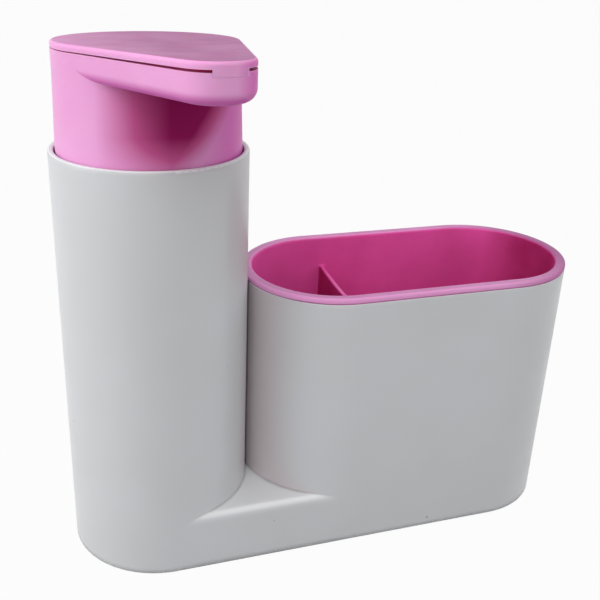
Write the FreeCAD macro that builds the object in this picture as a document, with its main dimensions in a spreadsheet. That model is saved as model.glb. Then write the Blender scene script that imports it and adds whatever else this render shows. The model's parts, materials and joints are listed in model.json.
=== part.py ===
import FreeCAD, Part
import math
import os
import re
import Sketcher

# Soap pump caddy: a white shell with a soap tower and a caddy well, a lift-out tray and a push pump
# X runs from the tower to the caddy, the front is towards -Y, the counter is at Z = 0

doc = FreeCAD.newDocument("soap_pump_caddy")
sheet = doc.addObject("Spreadsheet::Sheet", "sheet")

# Driving sizes in millimetres, the head's turn in degrees
SIZES = {
    "base_length": 207.8,
    "base_width": 70,
    "shell_wall": 2.1,
    "tower_height": 159.7,
    "tower_gap": 0.1,
    "caddy_height": 106.6,
    "bridge_height": 23.5,
    "bridge_inset": 0.15,
    "bridge_round": 3,
    "bridge_skin": 2.2,
    "floor_thick": 2.5,
    "foot_recess": 4,
    "foot_land": 7,
    "ring_proud": 0.8,
    "ring_sink": 1,
    "ring_edge": 0.8,
    "ring_width": 4.2,
    "web_width": 5,
    "web_reach": 3,
    "web_drop": 1.5,
    "tower_round": 0.8,
    "seam_round": 0.5,
    "seat_drop": 32,
    "rib_width": 2.2,
    "rib_depth": 3.4,
    "tray_gap": 0.7,
    "tray_stand": 12.1,
    "tray_floor": 2.2,
    "tray_floor_round": 2,
    "tray_foot_round": 3,
    "rim_thick": 2.5,
    "rim_width": 4.2,
    "rim_round_outer": 1.1,
    "rim_round_inner": 1.4,
    "rim_round_low": 0.8,
    "divider_shift": 8.6,
    "divider_thick": 2,
    "divider_drop": 13,
    "divider_dip": 2.5,
    "divider_round": 1.2,
    "divider_edge": 0.7,
    "slot_width": 3.2,
    "slot_length": 34,
    "slot_pitch": 11,
    "head_turn_angle": 10.5,
    "skirt_gap": 0.5,
    "skirt_overlap": 13,
    "skirt_straight": 2,
    "head_inset": 0.7,
    "head_wall": 2,
    "head_blend": 0.15,
    "beak_low": 25.7,
    "beak_height": 8.15,
    "edge_rise": 1.35,
    "beak_round": 4,
    "deck_thick": 2,
    "strut_width": 1.6,
    "strut_height": 8,
    "nose_reach": 56,
    "nose_radius": 12.2,
    "cap_reveal": 0.27,
    "cap_gape": 0.6,
    "cap_thick": 2.15,
    "cap_rise": 2.1,
    "cap_round": 1.2,
    "tab_width": 11,
    "tab_drop": 1.2,
    "tab_fit": 0.12,
    "tab_seat": 0.04,
    "lip_gap": 0.25,
    "lip_thick": 1.5,
    "spout_radius": 2.5,
    "spout_bore": 1.6,
    "spout_fit": 0.15,
    "spout_bend": 3.5,
    "spout_clear": 0.5,
    "stub_depth": 7,
    "carrier_gap": 0.6,
    "carrier_plate": 2.5,
    "carrier_edge": 5,
    "carrier_edge_wall": 4,
    "seal_cord": 1.2,
    "seal_gap": 0.1,
    "groove_fit": 0.05,
    "neck_height": 10,
    "neck_wall": 4.2,
    "gasket_thick": 1,
    "flange_thick": 1.5,
    "flange_inset": 0.2,
    "collar_fit": 0.3,
    "collar_wall": 2.7,
    "collar_top": 2,
    "collar_skirt": 11,
    "collar_mouth": 8,
    "flute_radius": 1,
    "flute_depth": 0.6,
    "guide_flange": 1.5,
    "guide_sleeve": 11,
    "guide_inset": 1,
    "housing_bore": 7.5,
    "housing_wall": 1.5,
    "housing_fit": 0.3,
    "slide_fit": 0.06,
    "press_gap": 0.05,
    "stem_radius": 3.8,
    "stem_bore": 2,
    "stem_mouth": 2.7,
    "stem_mouth_depth": 12,
    "rod_radius": 2.8,
    "rod_bore": 1.6,
    "rod_socket": 8,
    "rod_foot": 1.5,
    "rod_foot_radius": 6.6,
    "boss_wall": 2.4,
    "boss_clear": 1,
    "press_travel": 13,
    "piston_height": 9,
    "piston_lip": 1.6,
    "piston_relief": 0.5,
    "piston_gap": 0.1,
    "spring_length": 25,
    "spring_radius": 5.7,
    "spring_wire": 0.45,
    "cage_thick": 1.5,
    "cage_bore": 3.4,
    "cage_bar": 1.4,
    "chamber_radius": 4,
    "chamber_height": 7,
    "seat_thick": 2,
    "seat_bore": 2,
    "inlet_radius": 3,
    "outlet_radius": 2.3,
    "seat_gap": 0.02,
    "spigot_length": 10,
    "spigot_wall": 1.3,
    "tube_radius": 3,
    "tube_bore": 2,
    "tube_clear": 4.5,
    "tube_top_gap": 0.3,
    "overrun": 2,
}
for row, (alias, size) in enumerate(SIZES.items(), start=1):
    sheet.set(f"A{row}", str(size))
    sheet.setAlias(f"A{row}", alias)
doc.recompute()

# Heights and places worked out from the driving sizes
TOWER_X = "(base_width - base_length) / 2"
WELL_A = "(base_width + tower_gap)"
CADDY_LENGTH = f"(base_length - {WELL_A})"
CADDY_X = f"{WELL_A} / 2"
WELL_B = "base_length - base_width"
OUTER = "base_width / 2"
BORE = "(base_width / 2 - shell_wall)"
FLOOR = "(foot_recess + floor_thick)"
CORE_ROUND = f"({WELL_A} ^ 2 / (8 * base_width))"
RIM_Z = "(ring_proud + tower_height)"
SEAT_Z = f"({RIM_Z} - seat_drop)"
WALL_Z = "(ring_proud + caddy_height)"
TRAY_DEPTH = f"(caddy_height - {FLOOR} - tray_stand)"
SKIRT_R = f"({BORE} - skirt_gap)"
HEAD_R = f"({SKIRT_R} - head_inset)"
HEAD_TOP = "(beak_low + beak_height + edge_rise + cap_rise + cap_reveal + cap_gape + cap_thick + overrun)"
EDGE_SLOPE = "(edge_rise / (nose_reach + nose_radius))"
CAP_SLOPE = "(cap_rise / (nose_reach + nose_radius))"
UNDER_SLOPE = "((edge_rise + cap_gape) / (nose_reach + nose_radius))"
NOSE_EDGE = "(beak_low + beak_height + edge_rise)"
DECK_TOP = "(beak_low + deck_thick)"
CARRIER_R = f"({BORE} - carrier_gap)"
SEAL_R = f"({BORE} - seal_gap - seal_cord)"
HOLE_R = "(housing_bore + housing_wall + housing_fit)"
NECK_R = f"({HOLE_R} + neck_wall)"
FLANGE_Z = f"({SEAT_Z} + neck_height + gasket_thick)"
GUIDE_Z = f"({FLANGE_Z} + flange_thick)"
COLLAR_Z = f"({GUIDE_Z} + guide_flange)"
COLLAR_END = f"({COLLAR_Z} + collar_top)"
PISTON_Z = f"({GUIDE_Z} - guide_sleeve - piston_gap - piston_height)"
FOOT_Z = f"({PISTON_Z} - rod_foot)"
CAGE_Z = f"({FOOT_Z} - spring_length - cage_thick)"
VALVE_Z = f"({CAGE_Z} - chamber_height)"
STEM_LOW = f"({PISTON_Z} + piston_height + slide_fit)"
STEM_END = f"({RIM_Z} + beak_low - press_gap)"
BOSS_LOW = f"({COLLAR_END} + press_travel + boss_clear - {RIM_Z})"
TUBE_Z = f"(ring_proud + {FLOOR} + tube_clear)"

SPRING_TURNS = 6
SPRING_POINTS = 72
RIB_COUNT = 4
STRUT_COUNT = 4
FLUTE_COUNT = 24
SLOT_COUNT = 9
TINY = 1e-9
LEVEL_FIT = 1e-4


def bound(text):
    return re.sub(r"[a-z_]+", lambda word: f"sheet.{word[0]}" if word[0] in SIZES else word[0], text)


def value(text):
    return float(sheet.evalExpression(text))


def spot(x, y):
    return FreeCAD.Vector(x, y, 0)


def new_body(label):
    body = doc.addObject("PartDesign::Body", label)
    body.Label = label
    return body


def place(item, x="0", z="0", turn="0"):
    for path, text in (("Base.x", x), ("Base.z", z), ("Rotation.Yaw", turn)):
        if text != "0":
            item.setExpression(f"Placement.{path}", bound(text))


def new_sketch(body, plane, lift="0"):
    sketch = body.newObject("Sketcher::SketchObject", f"{body.Label}_sketch")
    support = next(item for item in body.Origin.OriginFeatures if item.Role == plane)
    sketch.AttachmentSupport = (support, [""])
    sketch.MapMode = "FlatFace"
    if lift != "0":
        sketch.setExpression("AttachmentOffset.Base.z", bound(lift))
    return sketch


def bind(sketch, constraint, text):
    number = sketch.addConstraint(constraint)
    sketch.setExpression(f"Constraints[{number}]", bound(text))


def pin(sketch, shape, point, x, y):
    for kind, axis, text in (("DistanceX", -2, x), ("DistanceY", -1, y)):
        size = value(text)
        if abs(size) < TINY:
            sketch.addConstraint(Sketcher.Constraint("PointOnObject", shape, point, axis))
        elif size > 0:
            bind(sketch, Sketcher.Constraint(kind, -1, 1, shape, point, size), text)
        else:
            bind(sketch, Sketcher.Constraint(kind, shape, point, -1, 1, -size), f"-({text})")


def polygon(sketch, points):
    corners = [spot(value(x), value(y)) for x, y in points]
    first = sketch.GeometryCount
    for corner, follower in zip(corners, corners[1:] + corners[:1]):
        sketch.addGeometry(Part.LineSegment(corner, follower))
    for index, (x, y) in enumerate(points):
        follower = first + (index + 1) % len(points)
        sketch.addConstraint(Sketcher.Constraint("Coincident", first + index, 2, follower, 1))
        pin(sketch, first + index, 1, x, y)


def circle(sketch, x, y, radius):
    ring = Part.Circle(spot(value(x), value(y)), FreeCAD.Vector(0, 0, 1), value(radius))
    shape = sketch.addGeometry(ring)
    pin(sketch, shape, 3, x, y)
    bind(sketch, Sketcher.Constraint("Radius", shape, value(radius)), radius)


def arc(sketch, x, y, radius, start, end):
    ring = Part.Circle(spot(value(x), value(y)), FreeCAD.Vector(0, 0, 1), value(radius))
    shape = sketch.addGeometry(Part.ArcOfCircle(ring, start, end))
    pin(sketch, shape, 3, x, y)
    bind(sketch, Sketcher.Constraint("Radius", shape, value(radius)), radius)
    return shape


def line_between(sketch, before, after):
    start = sketch.getPoint(before, 2)
    end = sketch.getPoint(after, 1)
    shape = sketch.addGeometry(Part.LineSegment(start, end))
    sketch.addConstraint(Sketcher.Constraint("Tangent", before, 2, shape, 1))
    sketch.addConstraint(Sketcher.Constraint("Tangent", shape, 2, after, 1))


def stadium(sketch, left, right, radius):
    far = arc(sketch, right, "0", radius, -math.pi / 2, math.pi / 2)
    near = arc(sketch, left, "0", radius, math.pi / 2, 3 * math.pi / 2)
    line_between(sketch, far, near)
    line_between(sketch, near, far)


def slot_outline(sketch, middle, half_length, radius):
    back = arc(sketch, middle, f"{half_length} - {radius}", radius, 0, math.pi)
    front = arc(sketch, middle, f"{radius} - {half_length}", radius, math.pi, 2 * math.pi)
    line_between(sketch, back, front)
    line_between(sketch, front, back)


def teardrop(sketch, radius, nose):
    lean = math.asin((value(radius) - value(nose)) / value("nose_reach"))
    back = arc(sketch, "0", "0", radius, -lean, math.pi + lean)
    tip = arc(sketch, "0", "-nose_reach", nose, math.pi + lean, 2 * math.pi - lean)
    line_between(sketch, back, tip)
    line_between(sketch, tip, back)


def nose_segment(sketch, half_width):
    half_angle = math.asin(value(half_width) / value("nose_radius"))
    straight_down = -math.pi / 2
    front = arc(sketch, "0", "-nose_reach", "nose_radius", straight_down - half_angle, straight_down + half_angle)
    chord = sketch.addGeometry(Part.LineSegment(sketch.getPoint(front, 2), sketch.getPoint(front, 1)))
    sketch.addConstraint(Sketcher.Constraint("Coincident", front, 2, chord, 1))
    sketch.addConstraint(Sketcher.Constraint("Coincident", chord, 2, front, 1))
    bind(sketch, Sketcher.Constraint("DistanceX", -1, 1, front, 2, value(half_width)), half_width)
    bind(sketch, Sketcher.Constraint("DistanceX", front, 1, -1, 1, value(half_width)), half_width)


def grow(body, kind, sketch, length, flip=False, both=False):
    feature = body.newObject(f"PartDesign::{kind}", f"{body.Label}_{kind.lower()}")
    feature.Profile = sketch
    feature.setExpression("Length", bound(length))
    feature.Reversed = flip
    feature.Midplane = both
    sketch.Visibility = False
    return feature


def turned(body, points):
    sketch = new_sketch(body, "XZ_Plane")
    polygon(sketch, points)
    feature = body.newObject("PartDesign::Revolution", f"{body.Label}_revolution")
    feature.Profile = sketch
    feature.ReferenceAxis = (sketch, ["V_Axis"])
    sketch.Visibility = False


def rounded(body, radius, wanted):
    doc.recompute()
    base = body.Tip
    edges = [f"Edge{number}" for number, edge in enumerate(base.Shape.Edges, start=1) if wanted(edge)]
    feature = body.newObject("PartDesign::Fillet", f"{body.Label}_fillet")
    feature.Base = (base, edges)
    feature.setExpression("Radius", bound(radius))


def level(edge, height):
    return all(abs(vertex.Z - height) < LEVEL_FIT for vertex in edge.Vertexes)


def pattern(body, feature, kind, axis, count, span):
    repeat = body.newObject(f"PartDesign::{kind}", f"{body.Label}_pattern")
    repeat.Originals = [feature]
    role = next(item for item in body.Origin.OriginFeatures if item.Role == axis)
    if kind == "PolarPattern":
        repeat.Axis = (role, [""])
        repeat.Angle = 360
    else:
        repeat.Direction = (role, [""])
        repeat.setExpression("Length", bound(span))
    repeat.Occurrences = count
    body.Tip = repeat


# White shell, drawn from the tower's axis
shell = new_body("caddy_shell")
place(shell, TOWER_X, "ring_proud")
base_sketch = new_sketch(shell, "XY_Plane")
stadium(base_sketch, "0", WELL_B, f"{OUTER} - bridge_inset")
grow(shell, "Pad", base_sketch, "bridge_height")
rounded(shell, "bridge_round", lambda edge: level(edge, value("bridge_height")))
tower_sketch = new_sketch(shell, "XY_Plane")
circle(tower_sketch, "0", "0", OUTER)
grow(shell, "Pad", tower_sketch, "tower_height")
caddy_sketch = new_sketch(shell, "XY_Plane")
stadium(caddy_sketch, WELL_A, WELL_B, OUTER)
grow(shell, "Pad", caddy_sketch, "caddy_height")
web_sketch = new_sketch(shell, "XY_Plane")
WEB_X = f"({WELL_A}) / 2"
polygon(web_sketch, [
    (f"{WEB_X} - web_reach", "-web_width / 2"),
    (f"{WEB_X} + web_reach", "-web_width / 2"),
    (f"{WEB_X} + web_reach", "web_width / 2"),
    (f"{WEB_X} - web_reach", "web_width / 2"),
])
grow(shell, "Pad", web_sketch, "caddy_height - web_drop")
bore_sketch = new_sketch(shell, "XY_Plane", "tower_height")
circle(bore_sketch, "0", "0", BORE)
grow(shell, "Pocket", bore_sketch, f"tower_height - {FLOOR}")
well_sketch = new_sketch(shell, "XY_Plane", "caddy_height")
stadium(well_sketch, WELL_A, WELL_B, BORE)
grow(shell, "Pocket", well_sketch, f"caddy_height - {FLOOR}")
rounded(shell, "tower_round", lambda edge: level(edge, value("tower_height")))
rounded(shell, "seam_round", lambda edge: level(edge, value("caddy_height"))
        and (edge.BoundBox.YLength > 2 * value(BORE) + TINY
             or abs(abs(edge.CenterOfMass.y) - value(OUTER)) < LEVEL_FIT))
rib_sketch = new_sketch(shell, "XY_Plane", "foot_recess")
polygon(rib_sketch, [
    (f"{BORE} - rib_depth", "-rib_width / 2"),
    (f"{BORE} + shell_wall / 2", "-rib_width / 2"),
    (f"{BORE} + shell_wall / 2", "rib_width / 2"),
    (f"{BORE} - rib_depth", "rib_width / 2"),
])
rib = grow(shell, "Pad", rib_sketch, "tower_height - seat_drop - foot_recess")
pattern(shell, rib, "PolarPattern", "Z_Axis", RIB_COUNT, "0")
recess_sketch = new_sketch(shell, "XY_Plane")
stadium(recess_sketch, "0", WELL_B, f"{OUTER} - foot_land")
grow(shell, "Pocket", recess_sketch, "foot_recess", flip=True)
groove_sketch = new_sketch(shell, "XY_Plane")
stadium(groove_sketch, "0", WELL_B, f"{OUTER} - ring_edge")
stadium(groove_sketch, "0", WELL_B, f"{OUTER} - ring_edge - ring_width")
grow(shell, "Pocket", groove_sketch, "ring_sink", flip=True)
core_sketch = new_sketch(shell, "XY_Plane")
circle(core_sketch, WEB_X, f"{CORE_ROUND} - {OUTER}", f"{CORE_ROUND} - bridge_skin")
circle(core_sketch, WEB_X, f"{OUTER} - {CORE_ROUND}", f"{CORE_ROUND} - bridge_skin")
grow(shell, "Pocket", core_sketch, "bridge_height - bridge_skin", flip=True)

# Non-slip ring under the base
ring = new_body("base_ring")
place(ring, TOWER_X)
ring_sketch = new_sketch(ring, "XY_Plane")
stadium(ring_sketch, "0", WELL_B, f"{OUTER} - ring_edge - press_gap")
stadium(ring_sketch, "0", WELL_B, f"{OUTER} - ring_edge - ring_width + press_gap")
grow(ring, "Pad", ring_sketch, "ring_proud + ring_sink")

# Lift-out tray, drawn from the middle of the well at the top of the white wall
tray = new_body("caddy_tray")
place(tray, CADDY_X, WALL_Z)
TRAY_HALF = f"(({CADDY_LENGTH} - base_width) / 2)"
TRAY_R = f"({BORE} - tray_gap)"
RIM_R = f"({OUTER} - rim_width)"
tub_sketch = new_sketch(tray, "XY_Plane")
stadium(tub_sketch, f"-{TRAY_HALF}", TRAY_HALF, TRAY_R)
grow(tray, "Pad", tub_sketch, TRAY_DEPTH, flip=True)
rounded(tray, "tray_foot_round", lambda edge: level(edge, -value(TRAY_DEPTH)))
rim_sketch = new_sketch(tray, "XY_Plane")
stadium(rim_sketch, f"-{TRAY_HALF}", TRAY_HALF, OUTER)
grow(tray, "Pad", rim_sketch, "rim_thick")
hollow_sketch = new_sketch(tray, "XY_Plane", "rim_thick")
stadium(hollow_sketch, f"-{TRAY_HALF}", TRAY_HALF, RIM_R)
grow(tray, "Pocket", hollow_sketch, f"rim_thick + {TRAY_DEPTH} - tray_floor")
rounded(tray, "rim_round_outer", lambda edge: level(edge, value("rim_thick"))
        and value(RIM_R) + LEVEL_FIT < max(abs(vertex.Y) for vertex in edge.Vertexes))
rounded(tray, "rim_round_inner", lambda edge: level(edge, value("rim_thick"))
        and abs(max(abs(vertex.Y) for vertex in edge.Vertexes) - value(RIM_R)) < LEVEL_FIT)
rounded(tray, "tray_floor_round", lambda edge: level(edge, value(f"tray_floor - {TRAY_DEPTH}")))
rounded(tray, "rim_round_low", lambda edge: level(edge, 0)
        and abs(max(abs(vertex.Y) for vertex in edge.Vertexes) - value(OUTER)) < LEVEL_FIT)
DIVIDER_X = f"(divider_shift - {TRAY_HALF})"
divider_sketch = new_sketch(tray, "YZ_Plane", DIVIDER_X)
DIVIDER_HALF = f"({RIM_R} + ({TRAY_R} - {RIM_R}) / 4)"
DIVIDER_TOP = "(rim_thick - divider_drop)"
DIVIDER_LOW = f"(3 * tray_floor / 4 - {TRAY_DEPTH})"
DIP_ROUND = f"({DIVIDER_HALF} ^ 2 + divider_dip ^ 2) / (2 * divider_dip)"
half_angle = math.asin(value(DIVIDER_HALF) / value(DIP_ROUND))
crest = arc(divider_sketch, "0", f"{DIVIDER_TOP} - divider_dip + {DIP_ROUND}", DIP_ROUND,
            -math.pi / 2 - half_angle, -math.pi / 2 + half_angle)
corners = [divider_sketch.getPoint(crest, 2), spot(value(DIVIDER_HALF), value(DIVIDER_LOW)),
           spot(-value(DIVIDER_HALF), value(DIVIDER_LOW)), divider_sketch.getPoint(crest, 1)]
sides = [divider_sketch.addGeometry(Part.LineSegment(a, b)) for a, b in zip(corners, corners[1:])]
for before, after in zip([crest] + sides, sides + [crest]):
    divider_sketch.addConstraint(Sketcher.Constraint("Coincident", before, 2, after, 1))
pin(divider_sketch, sides[1], 1, DIVIDER_HALF, DIVIDER_LOW)
pin(divider_sketch, sides[1], 2, f"-{DIVIDER_HALF}", DIVIDER_LOW)
divider_sketch.addConstraint(Sketcher.Constraint("Vertical", sides[0]))
divider_sketch.addConstraint(Sketcher.Constraint("Vertical", sides[2]))
grow(tray, "Pad", divider_sketch, "divider_thick", both=True)


def on_divider(edge, crest):
    low = min(vertex.Z for vertex in edge.Vertexes)
    side = value("divider_thick / 2")
    flush = all(abs(abs(vertex.X - value(DIVIDER_X)) - side) < LEVEL_FIT for vertex in edge.Vertexes)
    return flush and crest == (low > value(f"{DIVIDER_TOP} - 2 * divider_dip"))


rounded(tray, "divider_round", lambda edge: on_divider(edge, False))
rounded(tray, "divider_edge", lambda edge: on_divider(edge, True))
slot_sketch = new_sketch(tray, "XY_Plane", f"tray_floor - {TRAY_DEPTH}")
SLOT_FIRST = f"(-slot_pitch * {SLOT_COUNT - 1} / 2)"
slot_outline(slot_sketch, SLOT_FIRST, "slot_length / 2", "slot_width / 2")
slot = grow(tray, "Pocket", slot_sketch, "tray_floor + overrun")
pattern(tray, slot, "LinearPattern", "X_Axis", SLOT_COUNT, f"slot_pitch * {SLOT_COUNT - 1}")

# Push head, drawn from the tower's axis at the height of the tower's rim, beak towards -Y
head = new_body("pump_head")
place(head, TOWER_X, RIM_Z, "head_turn_angle")
beak_sketch = new_sketch(head, "XY_Plane", "beak_low")
teardrop(beak_sketch, f"{HEAD_R} - head_blend", "nose_radius")
grow(head, "Pad", beak_sketch, f"{HEAD_TOP} - beak_low")
rounded(head, "beak_round", lambda edge: level(edge, value("beak_low")))
turned(head, [
    (f"{SKIRT_R} - head_wall", "-skirt_overlap"),
    (SKIRT_R, "-skirt_overlap"),
    (SKIRT_R, "skirt_straight"),
    (HEAD_R, "beak_low"),
    (HEAD_R, HEAD_TOP),
    (f"{HEAD_R} - head_wall", HEAD_TOP),
    (f"{HEAD_R} - head_wall", "beak_low"),
    (f"{SKIRT_R} - head_wall", "skirt_straight"),
])
turned(head, [
    ("stem_radius + press_gap", BOSS_LOW),
    ("stem_radius + boss_wall", BOSS_LOW),
    ("stem_radius + boss_wall", "beak_low + deck_thick / 2"),
    ("stem_radius + press_gap", "beak_low + deck_thick / 2"),
])
strut_sketch = new_sketch(head, "XY_Plane", "beak_low - strut_height")
polygon(strut_sketch, [
    ("stem_radius + boss_wall / 2", "-strut_width / 2"),
    (f"{HEAD_R} - head_wall / 2", "-strut_width / 2"),
    (f"{HEAD_R} - head_wall / 2", "strut_width / 2"),
    ("stem_radius + boss_wall / 2", "strut_width / 2"),
])
strut = grow(head, "Pad", strut_sketch, "strut_height + deck_thick / 2")
pattern(head, strut, "PolarPattern", "Z_Axis", STRUT_COUNT, "0")
inner_sketch = new_sketch(head, "XY_Plane", HEAD_TOP)
teardrop(inner_sketch, f"{HEAD_R} - head_wall", "nose_radius - head_wall")
grow(head, "Pocket", inner_sketch, f"{HEAD_TOP} - {DECK_TOP}")


def above_slope(body, height, slope):
    sketch = new_sketch(body, "YZ_Plane")
    back = f"({HEAD_R} + overrun)"
    front = "(nose_reach + nose_radius + overrun)"
    polygon(sketch, [
        (f"-{front}", f"{height} + {slope} * {front}"),
        (back, f"{height} - {slope} * {back}"),
        (back, f"{HEAD_TOP} + 2 * overrun"),
        (f"-{front}", f"{HEAD_TOP} + 2 * overrun"),
    ])
    grow(body, "Pocket", sketch, f"2 * ({HEAD_R} + overrun)", both=True)


above_slope(head, "(beak_low + beak_height)", EDGE_SLOPE)
notch_sketch = new_sketch(head, "XY_Plane", HEAD_TOP)
nose_segment(notch_sketch, "tab_width / 2 + tab_fit")
grow(head, "Pocket", notch_sketch, f"{HEAD_TOP} - {NOSE_EDGE} + tab_drop")
ports_sketch = new_sketch(head, "XY_Plane", DECK_TOP)
circle(ports_sketch, "0", "0", "spout_radius + spout_fit")
circle(ports_sketch, "0", "-nose_reach", "spout_radius + spout_fit")
grow(head, "Pocket", ports_sketch, "deck_thick + overrun")

# Top plate of the head
cap = new_body("head_cap")
place(cap, TOWER_X, RIM_Z, "head_turn_angle")
CAP_LOW = "(beak_low + beak_height + cap_reveal)"
plate_sketch = new_sketch(cap, "XY_Plane", DECK_TOP)
teardrop(plate_sketch, HEAD_R, "nose_radius")
grow(cap, "Pad", plate_sketch, f"{HEAD_TOP} - {DECK_TOP}")
under_sketch = new_sketch(cap, "YZ_Plane")
UNDER_BACK = f"({HEAD_R} + overrun)"
UNDER_FRONT = "(nose_reach + nose_radius + overrun)"
polygon(under_sketch, [
    (f"-{UNDER_FRONT}", f"{DECK_TOP} - overrun"),
    (UNDER_BACK, f"{DECK_TOP} - overrun"),
    (UNDER_BACK, f"{CAP_LOW} - {UNDER_SLOPE} * {UNDER_BACK}"),
    (f"-{UNDER_FRONT}", f"{CAP_LOW} + {UNDER_SLOPE} * {UNDER_FRONT}"),
])
grow(cap, "Pocket", under_sketch, f"2 * ({HEAD_R} + overrun)", both=True)
lip_sketch = new_sketch(cap, "XY_Plane", DECK_TOP)
LIP_INSET = "head_wall - lip_gap"
teardrop(lip_sketch, f"{HEAD_R} - {LIP_INSET} - 2 * lip_gap", f"nose_radius - {LIP_INSET} - 2 * lip_gap")
teardrop(lip_sketch, f"{HEAD_R} - {LIP_INSET} - 2 * lip_gap - lip_thick",
         f"nose_radius - {LIP_INSET} - 2 * lip_gap - lip_thick")
grow(cap, "Pad", lip_sketch, f"{HEAD_TOP} - {DECK_TOP}")
above_slope(cap, f"({CAP_LOW} + cap_thick)", CAP_SLOPE)
rounded(cap, "cap_round", lambda edge: all(
    abs(vertex.Z - value(f"{CAP_LOW} + cap_thick") + value(CAP_SLOPE) * vertex.Y) < LEVEL_FIT
    for vertex in edge.Vertexes))
tab_sketch = new_sketch(cap, "XY_Plane", f"{NOSE_EDGE} - tab_drop + tab_seat")
nose_segment(tab_sketch, "tab_width / 2")
grow(cap, "Pad", tab_sketch, "tab_drop - tab_seat + cap_reveal + cap_gape + cap_thick / 4")

# Spout tube inside the head, from the stem's mouth to the outlet under the nose
spout = new_body("spout_tube")
place(spout, TOWER_X, RIM_Z, "head_turn_angle")
spout_profile = new_sketch(spout, "XY_Plane", "beak_low - stub_depth")
circle(spout_profile, "0", "0", "spout_radius")
circle(spout_profile, "0", "0", "spout_bore")
spout_path = new_sketch(spout, "YZ_Plane")
RUN_Z = f"({DECK_TOP} + spout_clear + spout_radius)"
rise = arc(spout_path, "-spout_bend", f"{RUN_Z} - spout_bend", "spout_bend", 0, math.pi / 2)
drop = arc(spout_path, "spout_bend - nose_reach", f"{RUN_Z} - spout_bend", "spout_bend", math.pi / 2, math.pi)
line_between(spout_path, rise, drop)
low_points = [spot(0, value("beak_low - stub_depth")), spot(-value("nose_reach"), value("beak_low + spout_fit"))]
stub = spout_path.addGeometry(Part.LineSegment(low_points[0], spout_path.getPoint(rise, 1)))
tail = spout_path.addGeometry(Part.LineSegment(spout_path.getPoint(drop, 2), low_points[1]))
spout_path.addConstraint(Sketcher.Constraint("Tangent", stub, 2, rise, 1))
spout_path.addConstraint(Sketcher.Constraint("Tangent", drop, 2, tail, 1))
bind(spout_path, Sketcher.Constraint("DistanceY", -1, 1, stub, 1, low_points[0].y), "beak_low - stub_depth")
bind(spout_path, Sketcher.Constraint("DistanceY", -1, 1, tail, 2, low_points[1].y), "beak_low + spout_fit")
spout_pipe = spout.newObject("PartDesign::AdditivePipe", "spout_tube_pipe")
spout_pipe.Profile = spout_profile
spout_pipe.Spine = (spout_path, [f"Edge{number + 1}" for number in range(spout_path.GeometryCount)])

# Carrier that stands on the tower's ribs, with a groove for its seal and a neck for the pump
carrier = new_body("pump_carrier")
place(carrier, TOWER_X, SEAT_Z)
GROOVE_HALF = "(seal_cord + groove_fit)"
GROOVE_R = f"({SEAL_R} - seal_cord - groove_fit)"
turned(carrier, [
    (HOLE_R, "0"),
    (CARRIER_R, "0"),
    (CARRIER_R, f"carrier_edge / 2 - {GROOVE_HALF}"),
    (GROOVE_R, f"carrier_edge / 2 - {GROOVE_HALF}"),
    (GROOVE_R, f"carrier_edge / 2 + {GROOVE_HALF}"),
    (CARRIER_R, f"carrier_edge / 2 + {GROOVE_HALF}"),
    (CARRIER_R, "carrier_edge"),
    (f"{CARRIER_R} - carrier_edge_wall", "carrier_edge"),
    (f"{CARRIER_R} - carrier_edge_wall", "carrier_plate"),
    (NECK_R, "carrier_plate"),
    (NECK_R, "neck_height"),
    (HOLE_R, "neck_height"),
])

seal = doc.addObject("Part::Torus", "carrier_seal")
seal.setExpression("Radius1", bound(SEAL_R))
seal.setExpression("Radius2", bound("seal_cord"))
place(seal, TOWER_X, f"{SEAT_Z} + carrier_edge / 2")

gasket = new_body("neck_gasket")
place(gasket, TOWER_X, f"{SEAT_Z} + neck_height")
turned(gasket, [
    (HOLE_R, "0"),
    (f"{NECK_R} - flange_inset", "0"),
    (f"{NECK_R} - flange_inset", "gasket_thick"),
    (HOLE_R, "gasket_thick"),
])

# Pump housing, drawn from the underside of its flange
housing = new_body("pump_housing")
place(housing, TOWER_X, FLANGE_Z)
STEP = f"({CAGE_Z} - {FLANGE_Z})"
SEAT_TOP = f"({STEP} - chamber_height)"
SPIGOT_R = "(tube_radius + press_gap + spigot_wall)"
turned(housing, [
    ("housing_bore", "flange_thick"),
    ("housing_bore", STEP),
    ("chamber_radius", STEP),
    ("chamber_radius", SEAT_TOP),
    ("seat_bore", SEAT_TOP),
    ("seat_bore", f"{SEAT_TOP} - seat_thick"),
    ("tube_radius + press_gap", f"{SEAT_TOP} - seat_thick"),
    ("tube_radius + press_gap", f"{SEAT_TOP} - seat_thick - spigot_length"),
    (SPIGOT_R, f"{SEAT_TOP} - seat_thick - spigot_length"),
    (SPIGOT_R, f"{SEAT_TOP} - seat_thick"),
    ("chamber_radius + housing_wall", f"{SEAT_TOP} - seat_thick"),
    ("chamber_radius + housing_wall", f"{STEP} - housing_wall"),
    ("housing_bore + housing_wall", f"{STEP} - housing_wall"),
    ("housing_bore + housing_wall", "0"),
    (f"{NECK_R} - flange_inset", "0"),
    (f"{NECK_R} - flange_inset", "flange_thick"),
])

guide = new_body("stem_guide")
place(guide, TOWER_X, GUIDE_Z)
turned(guide, [
    ("stem_radius + slide_fit", "-guide_sleeve"),
    ("housing_bore - press_gap", "-guide_sleeve"),
    ("housing_bore - press_gap", "0"),
    (f"{NECK_R} - guide_inset", "0"),
    (f"{NECK_R} - guide_inset", "guide_flange"),
    ("stem_radius + slide_fit", "guide_flange"),
])

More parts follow.
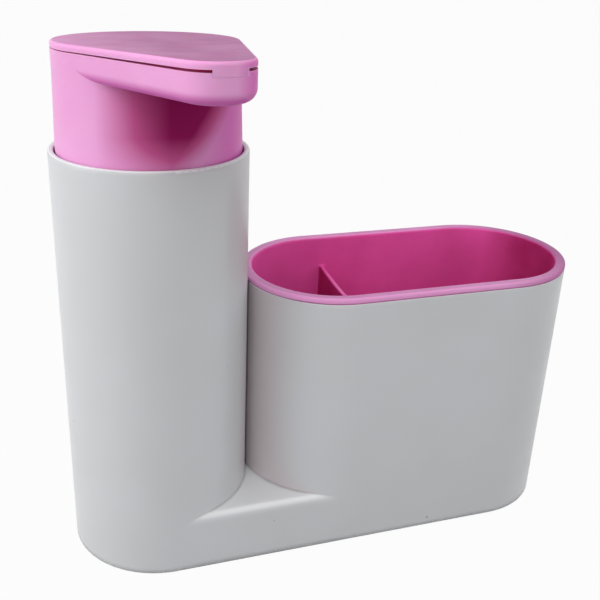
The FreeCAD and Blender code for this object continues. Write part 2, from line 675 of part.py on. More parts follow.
collar = new_body("pump_collar")
place(collar, TOWER_X, COLLAR_Z)
COLLAR_IN = f"({NECK_R} + collar_fit)"
turned(collar, [
    ("collar_mouth", "0"),
    (COLLAR_IN, "0"),
    (COLLAR_IN, "-collar_skirt"),
    (f"{COLLAR_IN} + collar_wall", "-collar_skirt"),
    (f"{COLLAR_IN} + collar_wall", "collar_top"),
    ("collar_mouth", "collar_top"),
])
flute_sketch = new_sketch(collar, "XY_Plane")
circle(flute_sketch, f"{COLLAR_IN} + collar_wall - flute_depth + flute_radius", "0", "flute_radius")
flute = grow(collar, "Pocket", flute_sketch, "collar_skirt + overrun")
pattern(collar, flute, "PolarPattern", "Z_Axis", FLUTE_COUNT, "0")

piston = new_body("piston_seal")
place(piston, TOWER_X, PISTON_Z)
PISTON_R = "(housing_bore - slide_fit)"
turned(piston, [
    ("rod_radius + slide_fit", "0"),
    (PISTON_R, "0"),
    (PISTON_R, "piston_lip"),
    (f"{PISTON_R} - piston_relief", "piston_lip"),
    (f"{PISTON_R} - piston_relief", "piston_height - piston_lip"),
    (PISTON_R, "piston_height - piston_lip"),
    (PISTON_R, "piston_height"),
    ("rod_radius + slide_fit", "piston_height"),
])

# Rod that carries the piston, pushed up into the stem
rod = new_body("piston_rod")
place(rod, TOWER_X, FOOT_Z)
ROD_TOP = f"({STEM_LOW} - {FOOT_Z} + rod_socket - press_gap)"
turned(rod, [
    ("rod_bore", "0"),
    ("rod_foot_radius", "0"),
    ("rod_foot_radius", "rod_foot - slide_fit"),
    ("rod_radius", "rod_foot - slide_fit"),
    ("rod_radius", ROD_TOP),
    ("rod_bore", ROD_TOP),
])

stem = new_body("pump_stem")
place(stem, TOWER_X, STEM_LOW)
STEM_TOP = f"({STEM_END} - {STEM_LOW})"
turned(stem, [
    ("rod_radius + press_gap", "0"),
    ("stem_radius", "0"),
    ("stem_radius", STEM_TOP),
    ("stem_mouth", STEM_TOP),
    ("stem_mouth", f"{STEM_TOP} - stem_mouth_depth"),
    ("stem_bore", f"{STEM_TOP} - stem_mouth_depth"),
    ("stem_bore", "rod_socket"),
    ("rod_radius + press_gap", "rod_socket"),
])

cage = new_body("ball_cage")
place(cage, TOWER_X, CAGE_Z)
turned(cage, [
    ("cage_bore", "0"),
    ("housing_bore - press_gap", "0"),
    ("housing_bore - press_gap", "cage_thick"),
    ("cage_bore", "cage_thick"),
])
bar_sketch = new_sketch(cage, "XY_Plane")
polygon(bar_sketch, [
    ("-cage_bore - cage_bar", "-cage_bar / 2"),
    ("cage_bore + cage_bar", "-cage_bar / 2"),
    ("cage_bore + cage_bar", "cage_bar / 2"),
    ("-cage_bore - cage_bar", "cage_bar / 2"),
])
grow(cage, "Pad", bar_sketch, "cage_thick")

inlet = doc.addObject("Part::Sphere", "inlet_ball")
inlet.setExpression("Radius", bound("inlet_radius"))
place(inlet, TOWER_X, f"{VALVE_Z} + sqrt(inlet_radius ^ 2 - seat_bore ^ 2) + seat_gap")

outlet = doc.addObject("Part::Sphere", "outlet_ball")
outlet.setExpression("Radius", bound("outlet_radius"))
place(outlet, TOWER_X, f"{STEM_END} - stem_mouth_depth + sqrt(outlet_radius ^ 2 - stem_bore ^ 2) + seat_gap")

tube = new_body("dip_tube")
place(tube, TOWER_X, TUBE_Z)
TUBE_LENGTH = f"({VALVE_Z} - seat_thick - tube_top_gap - {TUBE_Z})"
turned(tube, [
    ("tube_bore", "0"),
    ("tube_radius", "0"),
    ("tube_radius", TUBE_LENGTH),
    ("tube_bore", TUBE_LENGTH),
])


# Return spring between the cage and the rod's foot, one wire swept along arcs that meet tangentially
def tangent_arcs(start, start_way, end, end_way):
    chord = end - start
    ways = start_way + end_way
    spread = 2 * (1 - start_way.dot(end_way))
    pull = chord.dot(ways)
    reach = (math.sqrt(pull * pull + spread * chord.dot(chord)) - pull) / spread
    corner_a = start + start_way * reach
    corner_b = end - end_way * reach
    middle = (corner_a + corner_b) * 0.5
    arcs = []
    for first, corner, last in ((start, corner_a, middle), (middle, corner_b, end)):
        weight = (last - first).Length / (2 * reach)
        through = (first + last + corner * (2 * weight)) * (1 / (2 + 2 * weight))
        arcs.append(Part.Arc(first, through, last).toShape())
    return arcs


def spring_shape():
    radius = value("spring_radius")
    wire = value("spring_wire")
    length = value("spring_length - 4 * spring_wire")
    steps = 4 * SPRING_TURNS
    turn = math.pi / 2
    climb = length / steps
    spots = []
    ways = []
    for step in range(steps + 1):
        angle = step * turn
        spots.append(FreeCAD.Vector(radius * math.cos(angle), radius * math.sin(angle), 2 * wire + step * climb))
        way = FreeCAD.Vector(-radius * math.sin(angle), radius * math.cos(angle), climb / turn)
        ways.append(way.normalize())
    edges = []
    for step in range(steps):
        edges += tangent_arcs(spots[step], ways[step], spots[step + 1], ways[step + 1])
    path = Part.Wire(edges)
    points = path.discretize(Number=SPRING_TURNS * SPRING_POINTS)
    near = min((first - last).Length for index, first in enumerate(points)
               for last in points[index + SPRING_POINTS // 2:])
    print(f"return_spring: least gap to itself {near - 2 * wire:.2f} mm")
    section = Part.Wire([Part.Circle(spots[0], ways[0], wire).toShape()])
    return path.makePipeShell([section], True, False)


spring = doc.addObject("Part::Feature", "return_spring")
spring.Shape = spring_shape()
place(spring, TOWER_X, f"{CAGE_Z} + cage_thick")

doc.recompute()
pieces = [shell, ring, tray, head, cap, spout, carrier, seal, gasket, housing, guide, collar, piston, rod, stem,
          cage, inlet, outlet, tube, spring]
for item in doc.Objects:
    if "Invalid" in item.State or "Error" in item.State:
        raise RuntimeError(f"{item.Name} did not build: {item.State}")
os.makedirs("parts", exist_ok=True)
for piece in pieces:
    if piece.Shape.isNull() or not piece.Shape.isValid():
        raise RuntimeError(f"{piece.Label} has no sound shape")
    piece.Shape.exportStep(f"parts/{piece.Label}.step")
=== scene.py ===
import json
import math

import bmesh
import bpy
from mathutils import Matrix, Vector


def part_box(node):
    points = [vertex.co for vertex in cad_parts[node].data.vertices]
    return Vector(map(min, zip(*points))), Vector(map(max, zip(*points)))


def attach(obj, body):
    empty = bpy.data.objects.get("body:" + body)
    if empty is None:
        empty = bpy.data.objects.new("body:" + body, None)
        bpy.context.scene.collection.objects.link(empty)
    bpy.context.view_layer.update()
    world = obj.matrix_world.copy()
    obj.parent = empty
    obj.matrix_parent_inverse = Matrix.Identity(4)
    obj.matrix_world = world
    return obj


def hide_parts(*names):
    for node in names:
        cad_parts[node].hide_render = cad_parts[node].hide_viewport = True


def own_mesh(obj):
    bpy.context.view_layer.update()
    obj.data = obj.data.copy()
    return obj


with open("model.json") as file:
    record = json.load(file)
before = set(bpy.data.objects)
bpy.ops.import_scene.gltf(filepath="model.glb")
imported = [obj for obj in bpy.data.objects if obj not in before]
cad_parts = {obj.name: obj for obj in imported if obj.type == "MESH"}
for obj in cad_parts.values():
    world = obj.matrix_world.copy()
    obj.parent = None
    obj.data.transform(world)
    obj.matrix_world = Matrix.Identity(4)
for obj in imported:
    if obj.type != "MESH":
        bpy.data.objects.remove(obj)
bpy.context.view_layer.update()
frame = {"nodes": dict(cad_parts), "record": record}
nodes = frame["nodes"]
scene = bpy.context.scene
scene.view_settings.view_transform = "Standard"

MM = 0.001

# Camera, found from the photograph's edges
CAMERA_PLACE = (-0.11452, -0.29034, 0.23116)
CAMERA_RIGHT = (0.95263, -0.30243, 0.03221)
CAMERA_UP = (0.0916, 0.38627, 0.91783)
CAMERA_BACK = (-0.29002, -0.8714, 0.39567)
CAMERA_LENS_MM = 50.284
CAMERA_SHIFT = (0.02848, -0.01255)
CAMERA_CLIP_START = 0.01

# Studio: a soft lamp from the left, one from above the front, a dim room and a white floor
LIGHT_TARGET = (-0.03, 0, 0.1)
KEY_PLACE = (-0.8, 0.04, 0.5)
KEY_SIZE = 0.5
KEY_WATTS = 3.8
FRONT_PLACE = (-0.25, -0.6, 0.92)
FRONT_SIZE = 0.6
FRONT_WATTS = 2.8
ROOM_SIDES = (0.6, 0.96)
ROOM_OVERHEAD_SHARE = 0.74
FLOOR_RADIUS = 6
FLOOR_CORNERS = 96
FLOOR_COLOUR = (0.38, 0.38, 0.38, 1)
FLOOR_GLOW_SHARE = 0.96
PURE_WHITE = (1, 1, 1, 1)

# Colours, linear
WHITE = (0.62, 0.635, 0.66, 1)
WHITE_WARM = (0.60, 0.61, 0.625, 1)
WHITE_EDGE = (0.72, 0.73, 0.75, 1)
# Painted highlight on the white's rounded upper edges
WHITE_PAINTED_HIGHLIGHT = (0.88, 0.89, 0.90, 1)
# Painted pink bounce light and shade in the white's nooks
WHITE_PAINTED_BOUNCE = (0.62, 0.555, 0.57, 1)
# Painted shade in seams and gaps between parts
SEAM_PAINTED_SHADE = (0.22, 0.13, 0.16, 1)
SPECK = (0.24, 0.23, 0.22, 1)
PINK = (0.82, 0.38, 0.68, 1)
PINK_UNEVEN = (0.79, 0.355, 0.65, 1)
# Painted shade on pink faces turned right and underneath
PINK_PAINTED_SIDE_SHADE = (0.74, 0.15, 0.53, 1)
PINK_EDGE = (0.86, 0.40, 0.68, 1)
# Painted shade on pink top faces and on the tray's far end
PINK_PAINTED_SHADE = (0.30, 0.06, 0.205, 1)
SHADE_MID = (0.56, 0.10, 0.29, 1)
SHADE_DEEP = (0.31, 0.010, 0.11, 1)
# Painted deep shade and bounce colour for closed spots of the head and cap; the second is darker, for stain
# patches and painted shade on faces turned left
SLIT_PAINTED_SHADE = (0.95, 0.05, 0.25, 1)
SLIT_STAIN_AND_SHADE = (0.85, 0.04, 0.22, 1)
# Painted deep shade and bounce colour for closed spots of the tray; the second is darker, for stain patches
# and painted shade on faces turned left
TRAY_PAINTED_SHADE = (0.86, 0.11, 0.445, 1)
TRAY_STAIN_AND_SHADE = (0.42, 0.025, 0.14, 1)
PUMP_WHITE = (0.72, 0.72, 0.71, 1)
PUMP_WHITE_UNEVEN = (0.68, 0.68, 0.67, 1)
MILKY = (0.66, 0.69, 0.69, 1)
MILKY_UNEVEN = (0.6, 0.63, 0.64, 1)
FOOT_RUBBER = (0.05, 0.05, 0.053, 1)
FOOT_RUBBER_UNEVEN = (0.035, 0.035, 0.037, 1)
SEAL_RUBBER = (0.075, 0.075, 0.08, 1)
SEAL_RUBBER_UNEVEN = (0.05, 0.05, 0.054, 1)
BALL_STEEL = (0.62, 0.63, 0.65, 1)
BALL_STEEL_UNEVEN = (0.55, 0.56, 0.58, 1)
WIRE_STEEL = (0.56, 0.57, 0.59, 1)
WIRE_STEEL_UNEVEN = (0.46, 0.46, 0.48, 1)

# Each pair below is a span, from its start to its end. One named SHARE, ROUGHNESS or GLOSS is what comes out.
# The others are what drives it: noise, a part of the normal, how open a spot is (1 is open) or a place in m.
CLOUD_SPAN = (0.35, 0.65)
SMEAR_SPAN = (0.3, 0.7)
EDGE_MATCH = (0.995, 0.9)
EDGE_MM = 0.5

# White shell: painted highlight on rounded upper edges, painted pink bounce light and shade in nooks, painted
# shade in seams, and a few specks
WHITE_CLOUDS_MM = 45
# Painted highlight: which tilts of the white count as rounded upper edges
RIDGE_TILT = (0.35, 0.8)
RIDGE_SHARE = (0, 0.85)
FLAT_TILT = (1, 0.94)
FLAT_SHARE = (0.6, 1)
# Painted pink bounce light and shade in nooks, mostly on upright faces turned left
NOOK_REACH_MM = 35
NOOK_OPEN = (0.9, 0.5)
NOOK_SHARE = (0, 0.9)
NOOK_TILT = (0.6, 0.2)
NOOK_FACING = (0.1, -0.3)
NOOK_FACING_SHARE = (0.2, 1)
# Painted shade in seams: how close other surfaces make a spot darker
SEAM_REACH_MM = 1.4
SEAM_OPEN = (0.54, 0.3)
SEAM_SHARE = (0, 0.75)
SPECK_SPACING_MM = 14
SPECK_EDGE = (0.045, 0.03)
SPECK_PATCH_MM = 30
SPECK_PATCH = (0.54, 0.58)
SPECK_SHARE = (0, 0.7)
WHITE_SMEAR_MM = 22
WHITE_ROUGHNESS = (0.28, 0.4)
WHITE_GRAIN_MM = 1.4
WHITE_GRAIN_DEPTH_MM = 0.012
WHITE_EASE_MM = 2.5

# Pink plastic: painted shade on faces turned right and underneath, painted shade on top faces and the far
# end, painted deep shade and bounce colour in closed spots, and random stain patches
PINK_CLOUDS_MM = 30
# Painted shade on faces turned right and underneath
SIDE_FACING = (0.3, 0.75)
UNDER_FACING = (-0.1, -0.6)
TURNED_SHARE = (0, 0.9)
# Painted shade on top faces, patchy and weaker towards the left end, and on the far end
TOP_SHADE_PATCH_MM = 18
TOP_SHADE_UNEVEN = 0.08
TOP_SHADE_TILT = (0.85, 0.99)
TOP_SHADE_ALONG = (-0.105, -0.07)
TOP_SHADE_ALONG_SHARE = (0.45, 1)
SHADED_FAR_END = (0.06, 0.1)
SHADED_FAR_END_SHARE = (0, 0.75)
STAIN_PATCH_MM = 22
STAIN_PATCH = (0.35, 0.75)
STAIN_PATCH_SHARE = (0, 0.25)
# Painted shade on faces turned left
LEFT_FACING_SHADE = (-0.55, -0.95)
LEFT_FACING_SHADE_SHARE = (0, 0.85)
PINK_SCATTER = 0.25
PINK_SCATTER_COLOUR = (1, 0.15, 0.4)
PINK_SCATTER_MM = 2
PINK_GLOSS = (0.14, 0.03)
PINK_SMEAR_MM = 14
PINK_ROUGHNESS = (0.36, 0.48)
PINK_GRAIN_MM = 0.9
PINK_GRAIN_DEPTH_MM = 0.014

# How much painted shade lies on top faces, how far a spot looks round for walls and from which openness to
# which it turns to the painted deep shade
HEAD_TOP_SHADE = 0.5
HEAD_REACH_MM = 2.5
HEAD_OPEN = (0.45, 0.25)
CAP_TOP_SHADE = 0.8
CAP_REACH_MM = 10
CAP_OPEN = (0.9, 0.6)
TRAY_TOP_SHADE = 0.35
TRAY_REACH_MM = 120
TRAY_OPEN = (0.95, 0.72)

# The shade on the head's skirt, under the beak
BEAK_UNDERSIDE = 0.1862
SHADE_EDGE_MM = 0.3
SHADE_FADE_MM = 10
SHADE_FADE_SHARE = (0.35, 1)
SHADE_LEAN = (0.6, 0)
SHADE_LEFT = (-0.65, 0.05)
SHADE_RIGHT = (0.95, 0.63)
SHADE_FRONT = (0, -0.2)
SHADE_MID_AT = 0.5

# Pieces inside
PUMP_ROUGHNESS = (0.35, 0.5)
MILKY_ROUGHNESS = (0.25, 0.4)
MILKY_SCATTER = 0.6
RUBBER_ROUGHNESS = (0.6, 0.8)
BALL_ROUGHNESS = (0.08, 0.16)
WIRE_ROUGHNESS = (0.22, 0.38)
WIRE_RADIUS = 0.45 * MM
SPRING_TURNS = 8
SPRING_CLOSED_TURNS = 1
SPRING_STEPS = 40
WIRE_SIDES = 12


def add_camera():
    data = bpy.data.cameras.new("camera")
    data.lens = CAMERA_LENS_MM
    data.shift_x, data.shift_y = CAMERA_SHIFT
    data.clip_start = CAMERA_CLIP_START
    camera = bpy.data.objects.new("camera", data)
    axes = Matrix((CAMERA_RIGHT, CAMERA_UP, CAMERA_BACK)).transposed()
    camera.matrix_world = Matrix.Translation(CAMERA_PLACE) @ axes.to_4x4()
    scene.collection.objects.link(camera)
    scene.camera = camera


def add_area(name, place, size, power):
    data = bpy.data.lights.new(name, "AREA")
    data.shape = "DISK"
    data.size = size
    data.energy = power
    light = bpy.data.objects.new(name, data)
    light.location = place
    light.rotation_euler = (Vector(LIGHT_TARGET) - Vector(place)).to_track_quat("-Z", "Y").to_euler()
    scene.collection.objects.link(light)


def add_node(tree, kind, inputs=None, **settings):
    made = tree.nodes.new(f"ShaderNode{kind}")
    for key, setting in settings.items():
        setattr(made, key, setting)
    for key, given in (inputs or {}).items():
        if isinstance(given, bpy.types.NodeSocket):
            tree.links.new(given, made.inputs[key])
        else:
            made.inputs[key].default_value = given
    return made


def combine(tree, operation, first, second):
    return add_node(tree, "Math", {0: first, 1: second}, operation=operation).outputs[0]


def product(tree, *shares):
    result = shares[0]
    for share in shares[1:]:
        result = combine(tree, "MULTIPLY", result, share)
    return result


def spread(tree, value, span, target=(0, 1)):
    return add_node(tree, "MapRange", {"Value": value, "From Min": span[0], "From Max": span[1],
                                       "To Min": target[0], "To Max": target[1]}).outputs[0]


def parts(tree, vector):
    return add_node(tree, "SeparateXYZ", {0: vector}).outputs


def blend(tree, share, first, second):
    mix = add_node(tree, "Mix", data_type="RGBA")
    for socket, given in ((mix.inputs["Factor"], share), (mix.inputs[6], first), (mix.inputs[7], second)):
        if isinstance(given, bpy.types.NodeSocket):
            tree.links.new(given, socket)
        else:
            socket.default_value = given
    return mix.outputs[2]


def seen_by(tree, *kinds):
    rays = add_node(tree, "LightPath").outputs
    share = rays[kinds[0]]
    for kind in kinds[1:]:
        share = combine(tree, "MAXIMUM", share, rays[kind])
    return share


def add_room():
    world = bpy.data.worlds.new("studio")
    scene.world = world
    world.use_nodes = True
    tree = world.node_tree
    tree.nodes.clear()
    way = parts(tree, add_node(tree, "TexCoord").outputs["Generated"])
    sides = spread(tree, way["X"], (-1, 1), ROOM_SIDES)
    height = spread(tree, way["Z"], (0, 1), (1, ROOM_OVERHEAD_SHARE))
    room = product(tree, sides, height)
    seen = seen_by(tree, "Is Camera Ray", "Is Transmission Ray")
    strength = spread(tree, seen, (0, 1), (room, 1))
    glow = add_node(tree, "Background", {"Color": PURE_WHITE, "Strength": strength})
    add_node(tree, "OutputWorld", {"Surface": glow.outputs[0]})


def add_floor():
    mesh = bpy.data.meshes.new("floor")
    shape = bmesh.new()
    bmesh.ops.create_circle(shape, cap_ends=True, segments=FLOOR_CORNERS, radius=FLOOR_RADIUS)
    shape.to_mesh(mesh)
    shape.free()
    floor = bpy.data.objects.new("floor", mesh)
    scene.collection.objects.link(floor)
    material = bpy.data.materials.new("floor_paper")
    material.use_nodes = True
    tree = material.node_tree
    tree.nodes.clear()
    paper = add_node(tree, "BsdfDiffuse", {"Color": FLOOR_COLOUR})
    glow = add_node(tree, "Emission", {"Color": PURE_WHITE, "Strength": 1})
    seen = seen_by(tree, "Is Camera Ray", "Is Glossy Ray", "Is Transmission Ray")
    share = spread(tree, seen, (0, 1), (0, FLOOR_GLOW_SHARE))
    mix = add_node(tree, "MixShader", {0: share, 1: paper.outputs[0], 2: glow.outputs[0]})
    add_node(tree, "OutputMaterial", {"Surface": mix.outputs[0]})
    mesh.materials.append(material)


def new_material(name):
    material = bpy.data.materials.new(name)
    material.use_nodes = True
    tree = material.node_tree
    shader = tree.nodes["Principled BSDF"]
    place = add_node(tree, "TexCoord").outputs["Object"]
    return material, tree, shader, place


def noise(tree, place, size_mm, detail=2):
    made = add_node(tree, "TexNoise", {"Vector": place, "Scale": 1 / (size_mm * MM), "Detail": detail})
    return made.outputs["Fac"]


def clouded(tree, place, size_mm, colour, uneven, detail=2):
    return blend(tree, spread(tree, noise(tree, place, size_mm, detail), CLOUD_SPAN), colour, uneven)


# How far the surface's normal turns within the radius: 0 on a plain face, 1 on a sharp edge
def edge_share(tree, radius_mm):
    eased = add_node(tree, "Bevel", {"Radius": radius_mm * MM}, samples=3)
    true = add_node(tree, "NewGeometry").outputs["Normal"]
    match = add_node(tree, "VectorMath", {0: eased.outputs[0], 1: true}, operation="DOT_PRODUCT")
    return spread(tree, match.outputs["Value"], EDGE_MATCH)


def openness(tree, reach_mm, alone=False):
    looked = add_node(tree, "AmbientOcclusion", {"Distance": reach_mm * MM}, samples=16, only_local=alone)
    return looked.outputs["AO"]


def grain(tree, shader, place, size_mm, depth_mm, ease_mm=0):
    height = noise(tree, place, size_mm, 3)
    bump = add_node(tree, "Bump", {"Height": height, "Distance": depth_mm * MM, "Strength": 1})
    if ease_mm:
        eased = add_node(tree, "Bevel", {"Radius": ease_mm * MM}, samples=3)
        tree.links.new(eased.outputs[0], bump.inputs["Normal"])
    tree.links.new(bump.outputs[0], shader.inputs["Normal"])


def roughen(tree, shader, place, size_mm, roughness):
    smear = spread(tree, noise(tree, place, size_mm, 4), SMEAR_SPAN, roughness)
    tree.links.new(smear, shader.inputs["Roughness"])


def scatter(shader, weight, radius, scale_mm):
    shader.inputs["Subsurface Weight"].default_value = weight
    shader.inputs["Subsurface Radius"].default_value = radius
    shader.inputs["Subsurface Scale"].default_value = scale_mm * MM


def white_plastic():
    material, tree, shader, place = new_material("satin_white_plastic")
    facing = parts(tree, add_node(tree, "NewGeometry").outputs["Normal"])
    base = clouded(tree, place, WHITE_CLOUDS_MM, WHITE, WHITE_WARM)
    worn = blend(tree, edge_share(tree, EDGE_MM), base, WHITE_EDGE)
    # Painted highlight: rounded upper edges are made paler, where light would catch them
    painted_highlight = product(tree, spread(tree, facing["Z"], RIDGE_TILT, RIDGE_SHARE),
                    spread(tree, facing["Z"], FLAT_TILT, FLAT_SHARE))
    highlighted = blend(tree, painted_highlight, worn, WHITE_PAINTED_HIGHLIGHT)
    # Painted pink bounce light and shade: closed upright spots turned left get a darker pinkish tint
    nook_bounce = product(tree, spread(tree, openness(tree, NOOK_REACH_MM, True), NOOK_OPEN, NOOK_SHARE),
                   spread(tree, facing["Z"], NOOK_TILT),
                   spread(tree, facing["X"], NOOK_FACING, NOOK_FACING_SHARE))
    bounce_painted = blend(tree, nook_bounce, highlighted, WHITE_PAINTED_BOUNCE)
    # Painted shade: spots close to other surfaces, in seams and gaps, turn dark
    seam_shade = spread(tree, openness(tree, SEAM_REACH_MM), SEAM_OPEN, SEAM_SHARE)
    seam_shaded = blend(tree, seam_shade, bounce_painted, SEAM_PAINTED_SHADE)
    dot_scale = 1 / (SPECK_SPACING_MM * MM)
    dots = add_node(tree, "TexVoronoi", {"Vector": place, "Scale": dot_scale, "Randomness": 1})
    speck = product(tree, spread(tree, dots.outputs["Distance"], SPECK_EDGE),
                    spread(tree, noise(tree, place, SPECK_PATCH_MM), SPECK_PATCH, SPECK_SHARE))
    tree.links.new(blend(tree, speck, seam_shaded, SPECK), shader.inputs["Base Color"])
    roughen(tree, shader, place, WHITE_SMEAR_MM, WHITE_ROUGHNESS)
    grain(tree, shader, place, WHITE_GRAIN_MM, WHITE_GRAIN_DEPTH_MM, WHITE_EASE_MM)
    return material


# The shade lies on the skirt's front. Its right edge leans left on the way down, and it fades at the rim.
def beak_shade(tree, place, facing):
    height = parts(tree, place)["Z"]
    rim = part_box("caddy_shell")[1][2]
    below = spread(tree, height, (BEAK_UNDERSIDE, BEAK_UNDERSIDE - SHADE_EDGE_MM * MM))
    fading = spread(tree, height, (rim, rim + SHADE_FADE_MM * MM), SHADE_FADE_SHARE)
    lean = spread(tree, height, (rim, BEAK_UNDERSIDE), SHADE_LEAN)
    left = spread(tree, facing["X"], SHADE_LEFT)
    right = spread(tree, combine(tree, "ADD", facing["X"], lean), SHADE_RIGHT)
    front = spread(tree, facing["Y"], SHADE_FRONT)
    return product(tree, below, fading, left, right, front)


def pink_plastic(name, closed_shade, stain_and_shade, top_shade, reach_mm, open_span, shaded=False):
    material, tree, shader, place = new_material(name)
    facing = parts(tree, add_node(tree, "TexCoord").outputs["Normal"])
    along = parts(tree, place)["X"]

    base = clouded(tree, place, PINK_CLOUDS_MM, PINK, PINK_UNEVEN)
    # Painted shade: faces turned to the right and underneath are a deeper, darker pink
    turned = combine(tree, "MAXIMUM", spread(tree, facing["X"], SIDE_FACING, TURNED_SHARE),
                     spread(tree, facing["Z"], UNDER_FACING, TURNED_SHARE))
    side_shaded = blend(tree, turned, base, PINK_PAINTED_SIDE_SHADE)
    worn = blend(tree, edge_share(tree, EDGE_MM), side_shaded, PINK_EDGE)

    # Painted shade on faces lying flat, patchy and weaker towards the left end, and on the far end
    top_shade_span = (top_shade - TOP_SHADE_UNEVEN, top_shade + TOP_SHADE_UNEVEN)
    top_shade_share = product(tree, spread(tree, facing["Z"], TOP_SHADE_TILT),
                    spread(tree, along, TOP_SHADE_ALONG, TOP_SHADE_ALONG_SHARE),
                    spread(tree, noise(tree, place, TOP_SHADE_PATCH_MM, 4), SMEAR_SPAN, top_shade_span))
    painted_shade_share = combine(tree, "MAXIMUM", top_shade_share, spread(tree, along, SHADED_FAR_END, SHADED_FAR_END_SHARE))
    colour = blend(tree, painted_shade_share, worn, PINK_PAINTED_SHADE)

    # Painted deep shade and bounce colour: closed spots turn to the deep colour
    closed = spread(tree, openness(tree, reach_mm, True), open_span)
    dull = closed
    if shaded:
        shade = beak_shade(tree, place, facing)
        middle = blend(tree, spread(tree, shade, (0, SHADE_MID_AT)), colour, SHADE_MID)
        colour = blend(tree, spread(tree, shade, (SHADE_MID_AT, 1)), middle, SHADE_DEEP)
        dull = combine(tree, "MAXIMUM", closed, shade)

    # Random stain patches, and painted shade on faces turned left
    patches = spread(tree, noise(tree, place, STAIN_PATCH_MM, 5), STAIN_PATCH, STAIN_PATCH_SHARE)
    stain_and_shade_share = combine(tree, "ADD", patches, spread(tree, facing["X"], LEFT_FACING_SHADE, LEFT_FACING_SHADE_SHARE))
    inside = blend(tree, stain_and_shade_share, closed_shade, stain_and_shade)
    tree.links.new(blend(tree, closed, colour, inside), shader.inputs["Base Color"])
    tree.links.new(spread(tree, dull, (0, 1), PINK_GLOSS), shader.inputs["Specular IOR Level"])
    scatter(shader, PINK_SCATTER, PINK_SCATTER_COLOUR, PINK_SCATTER_MM)
    roughen(tree, shader, place, PINK_SMEAR_MM, PINK_ROUGHNESS)
    grain(tree, shader, place, PINK_GRAIN_MM, PINK_GRAIN_DEPTH_MM)
    return material


def plain_plastic(name, colour, uneven, roughness, cloudy=0):
    material, tree, shader, place = new_material(name)
    tree.links.new(clouded(tree, place, 12, colour, uneven), shader.inputs["Base Color"])
    scatter(shader, cloudy, (1, 1, 1), 1)
    roughen(tree, shader, place, 8, roughness)
    grain(tree, shader, place, 0.8, 0.01)
    return material


def rubber(name, colour, uneven):
    material, tree, shader, place = new_material(name)
    tree.links.new(clouded(tree, place, 5, colour, uneven, 4), shader.inputs["Base Color"])
    roughen(tree, shader, place, 4, RUBBER_ROUGHNESS)
    grain(tree, shader, place, 0.5, 0.03)
    return material


def steel(name, colour, uneven, roughness):
    material, tree, shader, place = new_material(name)
    tree.links.new(clouded(tree, place, 2, colour, uneven, 4), shader.inputs["Base Color"])
    shader.inputs["Metallic"].default_value = 1
    roughen(tree, shader, place, 1.5, roughness)
    grain(tree, shader, place, 0.3, 0.002)
    return material


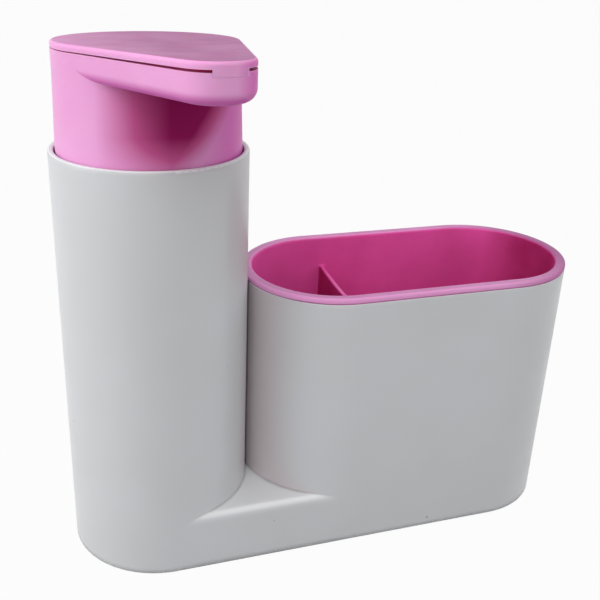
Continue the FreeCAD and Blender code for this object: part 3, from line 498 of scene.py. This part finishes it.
# The spring stands between the ball cage and the rod's foot, with one closed turn at each end.
def spring_piece():
    low, high = (Vector(corner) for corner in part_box("return_spring"))
    seat_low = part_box("ball_cage")[1][2]
    seat_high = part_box("piston_rod")[0][2]
    middle = (low + high) / 2
    radius = (high.x - low.x) / 2 - WIRE_RADIUS
    wire = 2 * WIRE_RADIUS
    open_turns = SPRING_TURNS - 2 * SPRING_CLOSED_TURNS
    rise = seat_high - seat_low - wire * (1 + 2 * SPRING_CLOSED_TURNS)

    def height(turn):
        open_share = min(max((turn - SPRING_CLOSED_TURNS) / open_turns, 0), 1)
        closed_turns = min(turn, SPRING_CLOSED_TURNS) + max(turn - SPRING_TURNS + SPRING_CLOSED_TURNS, 0)
        return seat_low + WIRE_RADIUS + closed_turns * wire + open_share * rise

    up = Vector((0, 0, 1))
    shape = bmesh.new()
    rings = []
    for step in range(SPRING_TURNS * SPRING_STEPS + 1):
        turn = step / SPRING_STEPS
        angle = turn * 2 * math.pi
        out = Vector((math.cos(angle), math.sin(angle), 0))
        centre = Vector((middle.x, middle.y, height(turn))) + out * radius
        ring = []
        for side in range(WIRE_SIDES):
            around = side * 2 * math.pi / WIRE_SIDES
            way = math.cos(around) * out + math.sin(around) * up
            ring.append(shape.verts.new(centre + WIRE_RADIUS * way))
        rings.append(ring)
    for ring, after in zip(rings, rings[1:]):
        for side in range(WIRE_SIDES):
            beside = (side + 1) % WIRE_SIDES
            shape.faces.new((ring[side], after[side], after[beside], ring[beside])).smooth = True
    shape.faces.new(rings[0])
    shape.faces.new(reversed(rings[-1]))
    bmesh.ops.recalc_face_normals(shape, faces=shape.faces)
    mesh = bpy.data.meshes.new("coil_spring")
    shape.to_mesh(mesh)
    shape.free()
    piece = bpy.data.objects.new("coil_spring", mesh)
    scene.collection.objects.link(piece)
    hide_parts("return_spring")
    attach(piece, "pump")
    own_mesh(piece)
    return piece


add_camera()
add_area("key", KEY_PLACE, KEY_SIZE, KEY_WATTS)
add_area("front", FRONT_PLACE, FRONT_SIZE, FRONT_WATTS)
add_room()
add_floor()

head_pink = pink_plastic("matt_pink_plastic", SLIT_PAINTED_SHADE, SLIT_STAIN_AND_SHADE, HEAD_TOP_SHADE, HEAD_REACH_MM, HEAD_OPEN,
                         shaded=True)
tray_pink = pink_plastic("matt_pink_tray", TRAY_PAINTED_SHADE, TRAY_STAIN_AND_SHADE, TRAY_TOP_SHADE, TRAY_REACH_MM, TRAY_OPEN)
cap_pink = pink_plastic("matt_pink_cap", SLIT_PAINTED_SHADE, SLIT_STAIN_AND_SHADE, CAP_TOP_SHADE, CAP_REACH_MM, CAP_OPEN)
finishes = {
    "white_plastic": white_plastic(),
    "pink_plastic": head_pink,
    "soft_ring": rubber("grey_foot_rubber", FOOT_RUBBER, FOOT_RUBBER_UNEVEN),
    "pump_plastic": plain_plastic("pump_white_plastic", PUMP_WHITE, PUMP_WHITE_UNEVEN, PUMP_ROUGHNESS),
    "natural_plastic": plain_plastic("milky_plastic", MILKY, MILKY_UNEVEN, MILKY_ROUGHNESS, MILKY_SCATTER),
    "seal_rubber": rubber("seal_rubber", SEAL_RUBBER, SEAL_RUBBER_UNEVEN),
    "valve_steel": steel("valve_steel", BALL_STEEL, BALL_STEEL_UNEVEN, BALL_ROUGHNESS),
    "spring_steel": steel("spring_steel", WIRE_STEEL, WIRE_STEEL_UNEVEN, WIRE_ROUGHNESS),
}
for subpart in frame["record"]["subparts"]:
    mesh = nodes[subpart["node"]].data
    mesh.materials.clear()
    mesh.materials.append(finishes[subpart["material_slot"]])
nodes["caddy_tray"].data.materials[0] = tray_pink
nodes["head_cap"].data.materials[0] = cap_pink
spring_piece().data.materials.append(finishes["spring_steel"])
